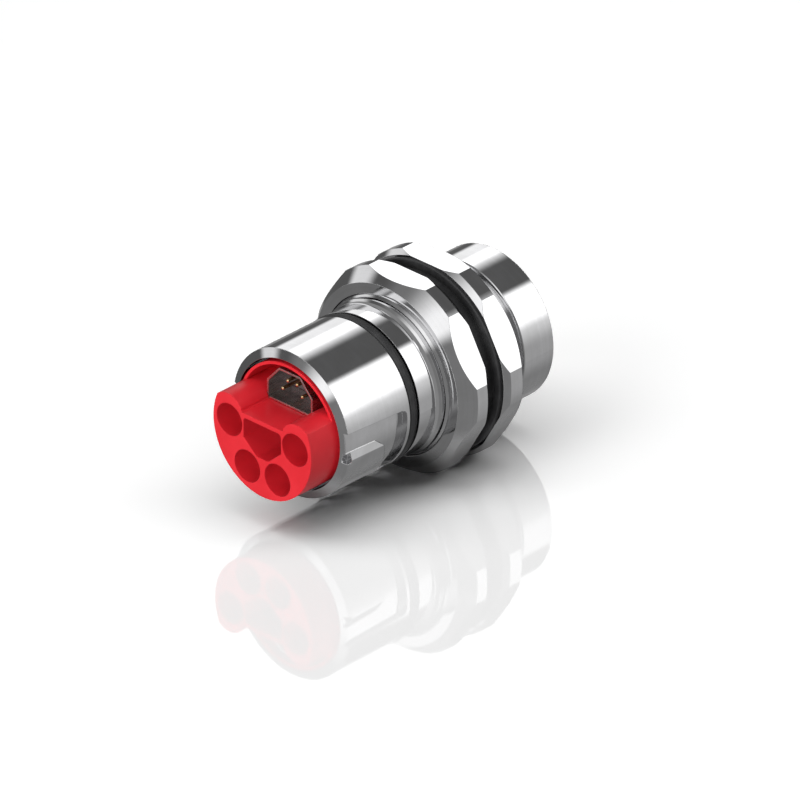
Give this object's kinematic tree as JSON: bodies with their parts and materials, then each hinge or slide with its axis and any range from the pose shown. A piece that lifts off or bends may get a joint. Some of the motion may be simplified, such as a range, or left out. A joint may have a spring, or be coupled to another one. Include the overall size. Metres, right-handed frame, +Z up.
{
  "type": "panel-mounted hybrid circular connector plug",
  "caption": "Size 23 circular connector for panel mounting, with touch-safe power cavities, a shielded data module, hexagonal flange and nut, gasket and rear sleeve.",
  "frame": {"origin": "on the plug's axis, in the plane of the flange's front face where the panel seat is", "axes": "Y is the plug's axis: -Y is the mating end, +Y the wire end; +Z is up, with the data module above the power cavities; both hexagons rest on their lower flats at Z = -15 mm"},
  "size_m": [0.032, 0.048, 0.03],
  "materials": {
    "plated_metal": "bright nickel plating over turned brass",
    "insert_plastic": "satin moulded plastic, saturated red",
    "carrier_plastic": "satin moulded plastic, black",
    "data_plastic": "satin moulded plastic, dark grey-brown",
    "rubber": "smooth black rubber, slightly glossy",
    "shield_metal": "satin stainless sheet",
    "contact_silver": "silver-plated turned brass",
    "contact_gold": "gold-plated turned brass"
  },
  "bodies": {
    "plug": {"housing": "plated_metal", "coupling_seal": "rubber", "panel_gasket": "rubber", "clamp_ring": "plated_metal", "contact_insert": "insert_plastic", "rear_carrier": "carrier_plastic", "data_shield": "shield_metal", "data_insulator": "data_plastic", "earth_contact": "contact_silver", "power_contact_1": "contact_silver", "power_contact_2": "contact_silver", "power_contact_3": "contact_silver", "power_contact_4": "contact_silver", "data_contact_1": "contact_gold", "data_contact_2": "contact_gold", "data_contact_3": "contact_gold", "data_contact_4": "contact_gold"},
    "nut": {"panel_nut": "plated_metal"},
    "sleeve": {"rear_sleeve": "plated_metal", "sleeve_seal": "rubber"}
  },
  "joints": [
    {"name": "nut_turn", "type": "hinge", "parent": "plug", "child": "nut", "pos_m": [0, -0.0057, 0], "axis": [0, 1, 0], "continuous": true},
    {"name": "sleeve_turn", "type": "hinge", "parent": "plug", "child": "sleeve", "pos_m": [0, 0.007, 0], "axis": [0, 1, 0], "continuous": true}
  ]
}
